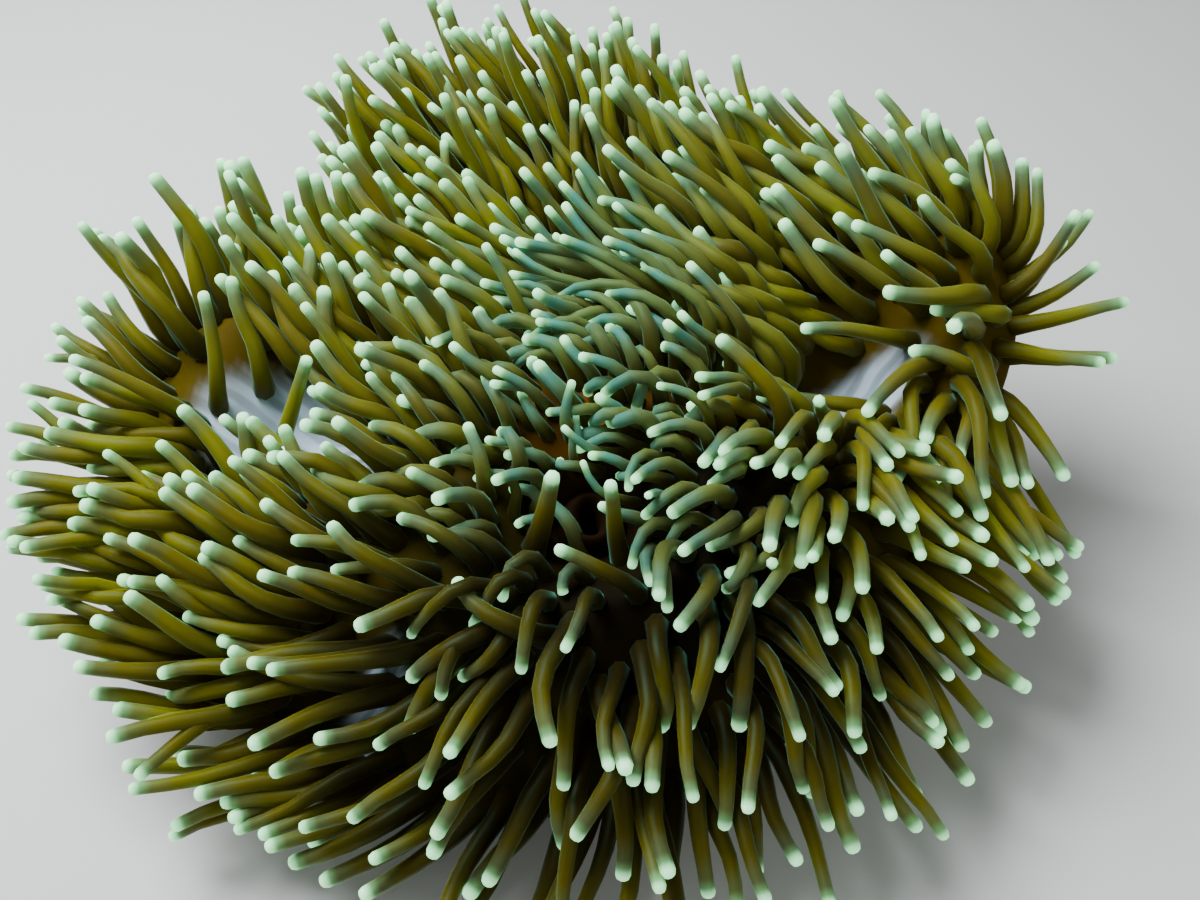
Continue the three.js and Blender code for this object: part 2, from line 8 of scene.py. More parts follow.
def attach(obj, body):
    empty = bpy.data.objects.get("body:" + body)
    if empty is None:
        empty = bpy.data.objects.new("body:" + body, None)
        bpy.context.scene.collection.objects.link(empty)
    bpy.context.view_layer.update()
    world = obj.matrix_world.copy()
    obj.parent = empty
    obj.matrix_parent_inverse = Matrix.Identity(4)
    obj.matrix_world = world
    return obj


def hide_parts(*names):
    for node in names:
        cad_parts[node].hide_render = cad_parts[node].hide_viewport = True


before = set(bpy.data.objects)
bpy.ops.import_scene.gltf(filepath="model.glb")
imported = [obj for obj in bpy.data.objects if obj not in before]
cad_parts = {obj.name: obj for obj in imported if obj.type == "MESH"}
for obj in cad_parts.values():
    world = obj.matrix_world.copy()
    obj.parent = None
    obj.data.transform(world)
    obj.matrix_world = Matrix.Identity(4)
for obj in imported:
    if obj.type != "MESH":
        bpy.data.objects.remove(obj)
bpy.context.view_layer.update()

# ---- Camera ----
# A short lens a little over half a metre away, looking down on the open disc from its low front,
# so that the near tentacles look larger than the far ones.
MM = 0.001
LOOKED_AT = Vector((-4, 4, 100)) * MM
CAMERA_AWAY = 555 * MM
CAMERA_RISE = math.radians(49)
CAMERA_LENS = 35

bpy.ops.object.camera_add()
camera = bpy.context.object
camera.data.lens = CAMERA_LENS
camera.data.clip_start = 10 * MM
backwards = Vector((0, -math.cos(CAMERA_RISE), math.sin(CAMERA_RISE)))
camera.location = LOOKED_AT + CAMERA_AWAY * backwards
camera.rotation_euler = backwards.to_track_quat("Z", "Y").to_euler()
bpy.context.scene.camera = camera


# ---- Floor and lights ----
# A plain pale floor under the foot, a broad soft light over the animal's back, a weaker one from
# the front and the pale room all round.
class Value:
    """A number or colour that changes over a surface, with sums written as on plain numbers."""

    def __init__(self, tree, socket):
        self.tree = tree
        self.socket = socket

    def node(self, kind, settings, output, *inputs, **named):
        """Any shader node: its settings first, then its inputs by place or by name."""
        made = self.tree.nodes.new(kind)
        for name, setting in settings.items():
            setattr(made, name, setting)
        for key, value in [*enumerate(inputs), *named.items()]:
            socket = made.inputs[key.replace("_", " ") if isinstance(key, str) else key]
            if isinstance(value, Value):
                self.tree.links.new(value.socket, socket)
            elif value is not None:
                socket.default_value = value
        return Value(self.tree, made.outputs[output])

    def maths(self, operation, *values):
        return self.node("ShaderNodeMath", {"operation": operation}, 0, *values)

    def __add__(self, other):
        return self.maths("ADD", self, other)

    def __sub__(self, other):
        return self.maths("SUBTRACT", self, other)

    def __rsub__(self, other):
        return self.maths("SUBTRACT", other, self)

    def __mul__(self, other):
        return self.maths("MULTIPLY", self, other)

    __radd__ = __add__
    __rmul__ = __mul__

    def sine(self):
        return self.maths("SINE", self)

    def between(self, low, high):
        """0 up to low and 1 from high on, eased between them."""
        settings = {"interpolation_type": "SMOOTHSTEP"}
        return self.node("ShaderNodeMapRange", settings, 0, self, low, high)

    def mix(self, first, second):
        """A colour that turns from the first to the second as this value goes from 0 to 1."""
        colours = [(*c, 1) if isinstance(c, tuple) else c for c in (first, second)]
        settings = {"data_type": "RGBA"}
        return self.node("ShaderNodeMix", settings, 2, self, None, None, None, None, None, *colours)

    def attribute(self, name):
        """What was written for each point of the mesh under that name."""
        return self.node("ShaderNodeAttribute", {"attribute_name": name}, 2)

    def noise(self, scale, detail=2.0):
        """Soft random spots, about 1 / scale metres across, where this value is the place."""
        settings = {"noise_dimensions": "3D"}
        return self.node("ShaderNodeTexNoise", settings, 0, Vector=self, Scale=scale, Detail=detail)


def new_material(name, **constants):
    """A material, its shader and its surface's place; constants go on the shader's own sockets."""
    material = bpy.data.materials.new(name)
    material.use_nodes = True
    shader = material.node_tree.nodes["Principled BSDF"]
    for key, value in constants.items():
        shader.inputs[key.replace("_", " ")].default_value = value
    start = Value(material.node_tree, None)
    place = start.node("ShaderNodeTexCoord", {}, "Object")
    return material, shader, place


def paint(shader, **values):
    for key, value in values.items():
        value.tree.links.new(value.socket, shader.inputs[key.replace("_", " ")])


FLOOR_SIZE = 12.0
FLOOR_COLOUR = (0.74, 0.73, 0.71)
FLOOR_DARKER = tuple(c * 0.97 for c in FLOOR_COLOUR)
FLOOR_SPOTS = 3.0
bpy.ops.mesh.primitive_plane_add(size=FLOOR_SIZE)
floor = bpy.context.object
floor.name = "floor"
floor_paint, floor_shader, floor_place = new_material("floor", Roughness=0.85)
paint(floor_shader, Base_Color=floor_place.noise(FLOOR_SPOTS).mix(FLOOR_COLOUR, FLOOR_DARKER))
floor.data.materials.append(floor_paint)

# Each light: size, power, where it hangs over the middle of the animal in metres, and colour.
LIGHTS = {
    "sky": {"size": 0.7, "power": 36, "at": (-0.55, 0.30, 1.15), "colour": (0.93, 0.98, 1.0)},
    "fill": {"size": 1.0, "power": 3, "at": (0.8, -0.9, 0.8), "colour": (1.0, 0.97, 0.92)},
}
for name, light in LIGHTS.items():
    bpy.ops.object.light_add(type="AREA", location=light["at"])
    lamp = bpy.context.object
    lamp.name = name
    lamp.data.size = light["size"]
    lamp.data.energy = light["power"]
    lamp.data.color = light["colour"]
    lamp.rotation_euler = (Vector(light["at"]) - LOOKED_AT).to_track_quat("Z", "Y").to_euler()
ROOM = {"Color": (0.80, 0.87, 0.92, 1), "Strength": 0.24}
world = bpy.data.worlds.new("room")
world.use_nodes = True
for key, value in ROOM.items():
    world.node_tree.nodes["Background"].inputs[key].default_value = value
bpy.context.scene.world = world

# ---- Body ----
# One soft skin: the flat foot that grips the floor, the pleated column, the wide folded disc and the
# puffed mouth in its middle. Living flesh, so it has no joints, and it hides the solids it follows.
FOOT = {"radius": 80, "height": 12, "edge": 5}
# Rings of the flat sole, by radius, and of the foot's rounded edge, by radius and height.
SOLE = (20, 45, 65, 76)
FOOT_EDGE = ((78.6, 0.9), (80, 3.2), (79.6, 6.5), (78, 9.5))
COLUMN_RINGS = 12
UNDERSIDE_RINGS = 20
UPPER_RINGS = 56
RIM_TURNS = (-60, -20, 20, 60)
WAIST = {"radius": 62, "at": 0.4}
COLUMN_TOP = 60
MOUTH = {"x": -8, "y": -42, "radius": 17, "slit": (3.2, 8), "lip": 6}
# The lips and the throat: how far out of the slit each ring lies, and its height over the lips.
THROAT = (
    (0.92, -9),
    (0.8, -4),
    (0.62, -1),
    (0.45, 0),
    (0.28, -1),
    (0.12, -4),
    (0, -10),
    (0, -24),
    (0, -40),
)
THROAT_END = 4
RING_SPLIT = 0.42
CREST = 104
RIM_ROLL = 16
RIM_THICK = 6
LEAST_THICK = 9
# From these shares of its width on, the folds lift the disc, and its edge rolls over and thins.
LIFTED_FROM = 0.3
ROLLED_FROM = 0.8
FRONT_REACH = 102
# Folds of the margin: direction from the mouth, reach, lift and half width in degrees.
FOLDS = {
    "right": (38, 149, 42, 19),
    "back_right": (72, 8, 32, 13),
    "back": (102, 170, 44, 22),
    "cleft": (131, -52, -14, 8),
    "left_back": (146, 26, 24, 11),
    "left": (163, 110, 10, 20),
    "left_low": (197, 46, -22, 16),
    "front_left": (226, 14, -12, 15),
    "front": (262, 8, -46, 44),
    "right_low": (348, 38, -28, 22),
}
# Swellings and hollows of the disc: middle, height and half width.
RELIEF = {
    "crown": (6, -2, 30, 66),
    "mouth_pit": (MOUTH["x"], MOUTH["y"], -34, 23),
    "left_hollow": (-149, 11, -30, 24),
    "right_hollow": (112, 38, -40, 26),
    "low_hollow": (-112, -108, -16, 20),
    "back_hollow": (-5, 128, -20, 26),
    "right_swell": (178, 100, 16, 38),
}


def ease(low, high, x):
    t = np.clip((x - low) / (high - low), 0, 1)
    return t * t * (3 - 2 * t)


def swell(dx, dy, wide):
    return np.exp(-(dx * dx + dy * dy) / (2 * wide * wide))


REACH, LIFT_UP = 1, 2


def folds(angle, what):
    """The folds' reach or lift added up in a direction; what is that value's place in FOLDS."""
    total = 0
    for fold in FOLDS.values():
        toward, wide = fold[0], fold[-1]
        off = (np.degrees(angle) - toward + 180) % 360 - 180
        total = total + fold[what] * swell(off, 0, wide)
    return total


def rim_radius(angle):
    return FRONT_REACH + folds(angle, REACH)


def disc_place(x, y):
    """Direction from the mouth, and the share of the disc's width there."""
    angle = np.arctan2(y - MOUTH["y"], x - MOUTH["x"])
    away = np.hypot(x - MOUTH["x"], y - MOUTH["y"])
    return angle, (away - MOUTH["radius"]) / (rim_radius(angle) - MOUTH["radius"])


def top_height(x, y):
    angle, share = disc_place(x, y)
    lifted = folds(angle, LIFT_UP) * ease(LIFTED_FROM, 1, share)
    z = CREST + lifted - RIM_ROLL * ease(ROLLED_FROM, 1, share) ** 2
    for at_x, at_y, up, wide in RELIEF.values():
        z = z + up * swell(x - at_x, y - at_y, wide)
    return z


def top_normal(x, y):
    dx = (top_height(x + 1, y) - top_height(x - 1, y)) / 2
    dy = (top_height(x, y + 1) - top_height(x, y - 1)) / 2
    return unit(np.stack([-dx, -dy, np.ones_like(dx)], -1))


def unit(v):
    return v / np.linalg.norm(v, axis=-1, keepdims=True)


def plan_point(angle, share):
    away = MOUTH["radius"] + share * (rim_radius(angle) - MOUTH["radius"])
    return MOUTH["x"] + away * np.cos(angle), MOUTH["y"] + away * np.sin(angle)


def under_height(angle, share):
    edge = top_height(*plan_point(angle, 1.0)) - RIM_THICK
    slope = COLUMN_TOP + (edge - COLUMN_TOP) * ease(RING_SPLIT, 1, share)
    thick = LEAST_THICK + (RIM_THICK - LEAST_THICK) * ease(ROLLED_FROM, 1, share)
    return np.minimum(slope, top_height(*plan_point(angle, share)) - thick)


def column_ring(angle, rise):
    """A ring of the column, from the foot's top edge to the disc's underside."""
    top = plan_point(angle, RING_SPLIT)
    foot_top = FOOT["radius"] - FOOT["edge"]
    waist = foot_top + (WAIST["radius"] - foot_top) * ease(0, WAIST["at"], rise)
    flare = ease(WAIST["at"], 1, rise) ** 2
    x = waist * np.cos(angle) * (1 - flare) + top[0] * flare
    y = waist * np.sin(angle) * (1 - flare) + top[1] * flare
    return x, y, FOOT["height"] + (COLUMN_TOP - FOOT["height"]) * rise + 0 * x


def body_rings(angle):
    """The skin's rings in order, from the middle of the sole, up the outside and down the throat."""
    def round_ring(radius, z):
        return radius * np.cos(angle), radius * np.sin(angle), z + 0 * angle

    rings = [round_ring(radius, 0) for radius in SOLE]
    rings += [round_ring(*place) for place in FOOT_EDGE]
    rings += [column_ring(angle, rise) for rise in np.linspace(0, 1, COLUMN_RINGS)]
    for share in np.linspace(RING_SPLIT, 1, UNDERSIDE_RINGS)[1:-1]:
        rings.append((*plan_point(angle, share), under_height(angle, share)))
    edge_x, edge_y = plan_point(angle, 1.0)
    edge_z = top_height(edge_x, edge_y) - RIM_THICK / 2
    for turn in np.radians(RIM_TURNS):
        out = RIM_THICK / 2 * (math.cos(turn) - 1)
        x, y = edge_x + out * np.cos(angle), edge_y + out * np.sin(angle)
        rings.append((x, y, edge_z + RIM_THICK / 2 * math.sin(turn)))
    for share in np.linspace(1, 0, UPPER_RINGS)[1:]:
        x, y = plan_point(angle, share)
        rings.append((x, y, top_height(x, y)))
    lip_top = top_height(MOUTH["x"] + MOUTH["radius"], MOUTH["y"]) + MOUTH["lip"]
    for out, z in THROAT:
        wide = MOUTH["slit"][0] + (MOUTH["radius"] - MOUTH["slit"][0]) * out
        long = MOUTH["slit"][1] + (MOUTH["radius"] - MOUTH["slit"][1]) * out
        x, y = MOUTH["x"] + wide * np.cos(angle), MOUTH["y"] + long * np.sin(angle)
        rings.append((x, y, lip_top + z + 0 * angle))
    return rings


def start_fresh():
    bpy.ops.object.select_all(action="DESELECT")


def grow_tube(name, sides, rings):
    """Extrudes a circle ring by ring into a tube closed at both ends, to be shaped afterwards.

    Its vertices are the rings in order, then the far end's middle and the near end's middle."""
    start_fresh()
    bpy.ops.mesh.primitive_circle_add(vertices=sides, radius=1)
    made = bpy.context.object
    made.name = name
    bpy.ops.object.mode_set(mode="EDIT")
    bpy.ops.mesh.select_all(action="SELECT")
    for _ in range(rings):
        bpy.ops.mesh.extrude_edges_move(TRANSFORM_OT_translate={"value": (0, 0, 1)})
    bpy.ops.mesh.merge(type="CENTER")
    bpy.ops.mesh.select_all(action="DESELECT")
    bpy.ops.object.mode_set(mode="OBJECT")
    for vertex in made.data.vertices[:sides]:
        vertex.select = True
    bpy.ops.object.mode_set(mode="EDIT")
    bpy.ops.mesh.extrude_edges_move(TRANSFORM_OT_translate={"value": (0, 0, -1)})
    bpy.ops.mesh.merge(type="CENTER")
    bpy.ops.object.mode_set(mode="OBJECT")
    return made


def make_copies(made, count):
    copies = made.modifiers.new("copies", "ARRAY")
    copies.count = count
    bpy.ops.object.modifier_apply(modifier=copies.name)


def place_vertices(made, points):
    made.data.vertices.foreach_set("co", np.asarray(points, float).ravel() * MM)
    made.data.update()


def face_out(made):
    start_fresh()
    made.select_set(True)
    bpy.context.view_layer.objects.active = made
    bpy.ops.object.mode_set(mode="EDIT")
    bpy.ops.mesh.select_all(action="SELECT")
    bpy.ops.mesh.normals_make_consistent(inside=False)
    bpy.ops.object.mode_set(mode="OBJECT")
    bpy.ops.object.shade_smooth()


# The edge left free round each tube's patch of the map, as a share of the patch.
PATCH_MARGIN = {"u": 0.03, "v": 0.02}


def unwrap(made, sides, rings, columns=1):
    """Maps each tube of the mesh to a patch of its own: girth across, length upwards."""
    mesh = made.data
    corner = np.empty(len(mesh.loops), int)
    mesh.loops.foreach_get("vertex_index", corner)
    first = np.empty(len(mesh.polygons), int)
    mesh.polygons.foreach_get("loop_start", first)
    face = np.repeat(np.arange(len(first)), np.diff(np.append(first, len(corner))))
    tube, local = np.divmod(corner, sides * rings + 2)
    ring, side = np.divmod(local, sides)
    is_end = local >= sides * rings
    # A face that closes the round goes on past the last side instead of back to the first.
    last = np.maximum.reduceat(np.where(is_end, 0, side), first)[face]
    side = np.where((side == 0) & ~is_end & (last == sides - 1), sides, side)
    least = np.minimum.reduceat(np.where(is_end, sides, side), first)[face]
    across = np.where(is_end, least + 0.5, side) / sides
    height = np.where(is_end, local == sides * rings, (ring + 0.5) / rings)
    rows = -(-(tube.max() + 1) // columns)
    u = (tube % columns + PATCH_MARGIN["u"] + (1 - 2 * PATCH_MARGIN["u"]) * across) / columns
    v = (tube // columns + PATCH_MARGIN["v"] + (1 - 2 * PATCH_MARGIN["v"]) * height) / rows
    mesh.uv_layers.new(name="OFBake").data.foreach_set("uv", np.stack([u, v], -1).ravel())


def write_attribute(made, name, values):
    attribute = made.data.attributes.new(name, "FLOAT", "POINT")
    attribute.data.foreach_set("value", np.asarray(values, float).ravel())


BODY_SIDES = 240
rings = body_rings(np.arange(BODY_SIDES) * 2 * math.pi / BODY_SIDES)
body = grow_tube("body", BODY_SIDES, len(rings))
throat_floor = (MOUTH["x"], MOUTH["y"], rings[-1][2][0] - THROAT_END)
ring_points = np.stack([np.stack(ring, -1) for ring in rings]).reshape(-1, 3)
skin = np.vstack([ring_points, [throat_floor], [(0, 0, 0)]])
place_vertices(body, skin)
face_out(body)
unwrap(body, BODY_SIDES, len(rings))

# Bare floors of the hollows, where no tentacle grows: middle, half length, half width and turn.
BARE = ((-148, 14, 42, 25, -15), (116, 42, 34, 14, 20), (-104, -104, 20, 9, 60), (0, 118, 16, 7, 0))
FAR = 9.0


def hollow_distance(x, y):
    """How far a place is from the nearest hollow's middle; 1 is the edge of its bare floor."""
    nearest = np.full(np.shape(x), FAR)
    for at_x, at_y, long, wide, turned in BARE:
        c, s = math.cos(math.radians(turned)), math.sin(math.radians(turned))
        along = ((x - at_x) * c + (y - at_y) * s) / long
        across = (-(x - at_x) * s + (y - at_y) * c) / wide
        nearest = np.minimum(nearest, np.hypot(along, across))
    return nearest


# The side lobes are thin, so light comes through them: middle, half width and strength of each.
LOBES = ((150, 75, 50, 0.9), (-175, 35, 50, 0.45))


def lobe_light(x, y):
    return sum(bright * swell(x - at_x, y - at_y, wide) for at_x, at_y, wide, bright in LOBES)


# Where each colour of the skin lies: the bare hollows, the column, the ring of the lips and the pit
# round the mouth, both painted dark as shade, the warm patch beside it and the lobes that the light
# comes through.
PALE = {"outside": 1.35, "inside": 0.85, "shift": 6}
COLUMN_SKIN = {"height": (72, 40), "radius": (125, 82)}
LIPS = {"radius": 12, "wide": 9}
PIT_SHADE = (20, -60, 60)
WARM = {"at": (-9, -2), "stretch": 2, "wide": 10}
UPPER_SKIN = 2

skin_x, skin_y, skin_z = skin.T
is_upper = skin_z > top_height(skin_x, skin_y) - UPPER_SKIN
is_bare = ease(PALE["outside"], PALE["inside"], hollow_distance(skin_x, skin_y + PALE["shift"]))
is_low = ease(*COLUMN_SKIN["height"], skin_z) * ease(*COLUMN_SKIN["radius"], np.hypot(skin_x, skin_y))
from_slit = np.hypot(skin_x - MOUTH["x"], skin_y - MOUTH["y"])
is_warm = swell((skin_x - WARM["at"][0]) / WARM["stretch"], skin_y - WARM["at"][1], WARM["wide"])
write_attribute(body, "pale", is_bare * is_upper)
write_attribute(body, "column", is_low)
write_attribute(body, "lips", swell(from_slit - LIPS["radius"], 0, LIPS["wide"]))
write_attribute(body, "pit", swell(skin_x - PIT_SHADE[0], skin_y - PIT_SHADE[1], PIT_SHADE[2]))
write_attribute(body, "warm", is_warm * is_upper)
write_attribute(body, "lit", lobe_light(skin_x, skin_y))

body_paint, body_shader, place = new_material(
    "body_skin", Roughness=0.7, Specular_IOR_Level=0.05, Subsurface_Weight=0.2, Subsurface_Scale=0.003
)
centre = (MOUTH["x"] * MM, MOUTH["y"] * MM, 0)
outward = place.node("ShaderNodeVectorMath", {"operation": "SUBTRACT"}, 0, place, centre)
east = outward.node("ShaderNodeSeparateXYZ", {}, 0, outward)
north = outward.node("ShaderNodeSeparateXYZ", {}, 1, outward)
bearing = outward.maths("ARCTAN2", north, east)

# The disc is dark brown, painted blackish as shade in the pit and at the lips round the slit, and
# lighter where light comes through.
DISC_SPOTS = 45.0
PIT_SHADE_EDGE = (0.1, 0.8)
LIPS_SHADE = 0.8
OLD_BROWN, NEW_BROWN, LIT_BROWN = (0.022, 0.015, 0.0), (0.060, 0.045, 0.0), (0.100, 0.064, 0.0)
PIT_SHADE_BLACK, LIP_SHADE_BLACK, WARM_BROWN = (0.005, 0.003, 0.0), (0.008, 0.003, 0.0), (0.160, 0.055, 0.0)
disc_brown = place.noise(DISC_SPOTS).mix(OLD_BROWN, NEW_BROWN)
disc_brown = place.attribute("lit").mix(disc_brown, LIT_BROWN)
disc_brown = place.attribute("pit").between(*PIT_SHADE_EDGE).mix(disc_brown, PIT_SHADE_BLACK)

# On the bare floors fine streaks run out from the mouth where the inner walls show through.
STREAKS = {"number": 120, "waver": 7, "spots": 25.0, "edge": (-0.5, 0.9)}
STREAK_LIGHT, STREAK_DARK = (0.60, 0.72, 0.84), (0.36, 0.45, 0.53)
streaks = bearing * STREAKS["number"] + place.noise(STREAKS["spots"]) * STREAKS["waver"]
streaked = streaks.sine().between(*STREAKS["edge"]).mix(STREAK_LIGHT, STREAK_DARK)
disc_skin = place.attribute("pale").mix(disc_brown, streaked)
# Painted shade: the lips round the slit are blackened.
disc_skin = (place.attribute("lips") * LIPS_SHADE).mix(disc_skin, LIP_SHADE_BLACK)
disc_skin = place.attribute("warm").mix(disc_skin, WARM_BROWN)

# The column is pleated from top to bottom where the inner walls are fixed to it.
PLEATS = {"number": 72, "waver": 3, "spots": 20.0, "edge": (-1.0, 0.6), "paler": 0.35}
PLEAT_BUMP = {"Strength": 0.35, "Distance": 2 * MM}
COLUMN_SPOTS = {"scale": 70.0, "detail": 4.0}
TAN, PALE_TAN, PLEAT_TAN = (0.24, 0.15, 0.075), (0.42, 0.30, 0.17), (0.50, 0.40, 0.27)
column = place.attribute("column")
pleats = bearing * PLEATS["number"] + place.noise(PLEATS["spots"]) * PLEATS["waver"]
pleats = pleats.sine().between(*PLEATS["edge"])
blotches = place.noise(**COLUMN_SPOTS).mix(TAN, PALE_TAN)
column_skin = (pleats * PLEATS["paler"]).mix(blotches, PLEAT_TAN)
paint(
    body_shader,
    Base_Color=column.mix(disc_skin, column_skin),
    Normal=place.node("ShaderNodeBump", {}, 0, Height=pleats * column, **PLEAT_BUMP),
)
body.data.materials.append(body_paint)
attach(body, "root")
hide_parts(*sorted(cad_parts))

# ---- Warts ----
# Small smooth warts in rows down the outside, from just under the disc's edge. Each is a low dome
# of the same flesh, a little lighter than the column, and grown out of its skin.
WARTS = {"rows": 64, "radius": 1.5, "shares": (0.50, 0.58, 0.66, 0.74, 0.81, 0.87, 0.92, 0.96)}
# How far each strays to the side, as a share of the room between rows, and along its row.
WART_STRAY = {"sideways": 0.3, "along": 0.02}
WART_SIZES = (0.7, 1.3)
WART_SALT = {"sideways": 31, "along": 32, "size": 33}
WART_SIDES = 6
WART_COLUMNS = 22
WART_COLOURS = ((0.40, 0.32, 0.20), (0.58, 0.50, 0.36))
WART_SPOTS = 50.0
# A step of the angle or the share that is short enough to give a direction.
SMALL_STEP = 0.01
# Each wart is a low dome: its rings' widths and heights, its top and its foot, in its own radii.
WART_RINGS = ((1.0, -0.5), (0.95, 0.25), (0.6, 0.62))
WART_TOP, WART_FOOT = 0.75, -0.6


def under_point(angle, share):
    x, y = plan_point(angle, share)
    return np.stack([x, y, under_height(angle, share)], -1)


def chance(k, salt):
    """A number from 0 to 1 that is always the same for the same number and salt."""
    v = np.sin(k * 12.9898 + salt * 78.233) * 43758.5453
    return v - np.floor(v)


wart = np.arange(WARTS["rows"] * len(WARTS["shares"]))
row = wart % WARTS["rows"] + WART_STRAY["sideways"] * chance(wart, WART_SALT["sideways"])
row_angle = row * 2 * math.pi / WARTS["rows"]
row_share = np.array(WARTS["shares"])[wart // WARTS["rows"]]
row_share = row_share + WART_STRAY["along"] * (chance(wart, WART_SALT["along"]) - 0.5)
wart_at = under_point(row_angle, row_share)
sideways = under_point(row_angle + SMALL_STEP, row_share) - wart_at
outwards = under_point(row_angle, row_share + SMALL_STEP) - wart_at
wart_out = unit(np.cross(outwards, sideways))
wart_out *= -np.sign(wart_out[:, 2:])
sideways = unit(sideways)
outwards = np.cross(sideways, wart_out)
least, most = WART_SIZES
wart_radius = WARTS["radius"] * (least + (most - least) * chance(wart, WART_SALT["size"]))
turns = np.arange(WART_SIDES) * 2 * math.pi / WART_SIDES
parts = [
    wart_at[:, None]
    + (sideways[:, None] * np.cos(turns)[:, None] + outwards[:, None] * np.sin(turns)[:, None])
    * (wide * wart_radius)[:, None, None]
    + (wart_out * (high * wart_radius)[:, None])[:, None]
    for wide, high in WART_RINGS
]
wart_tops = (wart_at + wart_out * (WART_TOP * wart_radius)[:, None])[:, None]
wart_feet = (wart_at + wart_out * (WART_FOOT * wart_radius)[:, None])[:, None]
warts = grow_tube("warts", WART_SIDES, len(WART_RINGS))
make_copies(warts, len(wart))
place_vertices(warts, np.concatenate([*parts, wart_tops, wart_feet], 1))
face_out(warts)
unwrap(warts, WART_SIDES, len(WART_RINGS), columns=WART_COLUMNS)
wart_paint, wart_shader, place = new_material(
    "wart_skin", Roughness=0.4, Coat_Weight=0.3, Coat_Roughness=0.2
)
paint(wart_shader, Base_Color=place.noise(WART_SPOTS).mix(*WART_COLOURS))
warts.data.materials.append(wart_paint)
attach(warts, "root")

# ---- Tentacles ----
# Hollow blunt fingers of the same flesh, rooted on a spiral over the disc's upper face, in a row
# along its edge and singly by the hollows. Water fills them, the current sways them together, and
# they rest on each other.
SPIRAL = {"step": 4.65, "power": 0.55, "count": 2400}
EDGE_ROW = {"inset": 5, "step": 7.6, "numbers": 3000}
RIM_INSET = 11
TENTACLE = {"long": 66, "short": 38, "root": 5.6, "tip": 2.9, "buried": 4.5}
# Which salt draws what for a tentacle.
SALT = {
    "jitter": (1, 2, 3),
    "length": 6,
    "girth": 7,
    "hooked_girth": 8,
    "colour": 9,
    "missing": 11,
    "droop": 12,
    "aside": 13,
    "wave": 14,
    "fork": 15,
    "wave_rate": 16,
    "fork_side": 17,
}
# Round a hollow fewer stand: how far out, in its own widths, and the share missing at its edge.
THINNED = {"within": 2.2, "share": 0.4}
# Where else fewer stand: middle and half width of a patch, and the share missing there.
SPARSE = {
    "pit": (26, -56, 40, 0.34),
    "front_left": (-80, -90, 36, 0.26),
    "front": (20, -112, 40, 0.08),
}
# Where they are shorter: middle and half width of a patch, and the share lost there.
SHORTER = {
    "mouth": (-8, -42, 30, 0.2),
    "under_hollow": (112, -24, 26, 0.25),
    "low_right": (84, -62, 32, 0.26),
    "below_left": (-132, -24, 24, 0.28),
    "right_tip": (215, 80, 34, 0.35),
    "left_tip": (-230, 0, 30, 0.2),
}
# Which way they sway: middle of a patch, heading and rise in degrees, and the patch's half width.
SWAY = {
    "left_tip": (-222, 10, 176, 28, 24),
    "left_tip_low": (-212, -22, 195, 6, 24),
    "left_tip_high": (-215, 35, 160, 44, 22),
    "left_high": (-195, 75, 115, 52, 26),
    "left": (-174, 0, 168, 34, 20),
    "left_upright": (-166, 42, 96, 56, 20),
    "left_back": (-128, 85, 130, 52, 26),
    "left_inner": (-100, 20, 150, 36, 24),
    "back_left": (-60, 150, 143, 48, 34),
    "back_left_inner": (-68, 88, 152, 40, 26),
    "back": (-25, 205, 140, 50, 32),
    "back_right": (22, 190, 106, 60, 30),
    "back_far_right": (62, 185, 108, 55, 28),
    "back_low": (25, 118, 130, 38, 26),
    "crown_left": (-45, 55, 156, 32, 22),
    "crown": (10, 72, 172, 18, 26),
    "crown_right": (52, 28, 150, 28, 22),
    "right_inner": (86, 56, 148, 28, 22),
    "right_flow": (130, 84, 152, 24, 28),
    "right_flow_far": (165, 100, 138, 34, 24),
    "right_rim": (176, 128, 112, 55, 22),
    "right_tip": (214, 96, 22, 40, 22),
    "right_edge": (205, 56, -6, 10, 18),
    "right_inside": (176, 70, 192, 6, 12),
    "right_hollow_side": (158, 30, -105, -5, 18),
    "right_low_edge": (168, -8, -48, -12, 24),
    "right_low": (146, -56, -32, -2, 26),
    "right_low_inner": (104, -44, -80, 40, 20),
    "under_hollow": (128, -6, -88, 42, 16),
    "front_right": (108, -96, -60, -12, 26),
    "front_mid_right": (66, -116, -72, -12, 26),
    "front": (12, -122, -88, -16, 26),
    "front_mid_left": (-30, -120, -125, -8, 26),
    "front_left": (-66, -108, -152, 2, 22),
    "left_low_edge": (-126, -108, -148, 4, 24),
    "left_low": (-146, -84, 176, 26, 26),
    "mid_left_low": (-90, -80, 164, 26, 22),
    "mid_left": (-136, -50, 146, 38, 24),
    "inner_left": (-56, -52, 158, 32, 22),
    "inner_right": (48, -40, -150, 6, 24),
    "inner_low_right": (80, -34, -120, 30, 18),
    "mouth": (-8, -42, 140, 55, 16),
    "below_mouth": (-8, -94, -105, 12, 16),
    "below_mouth_right": (36, -90, -60, 20, 18),
}
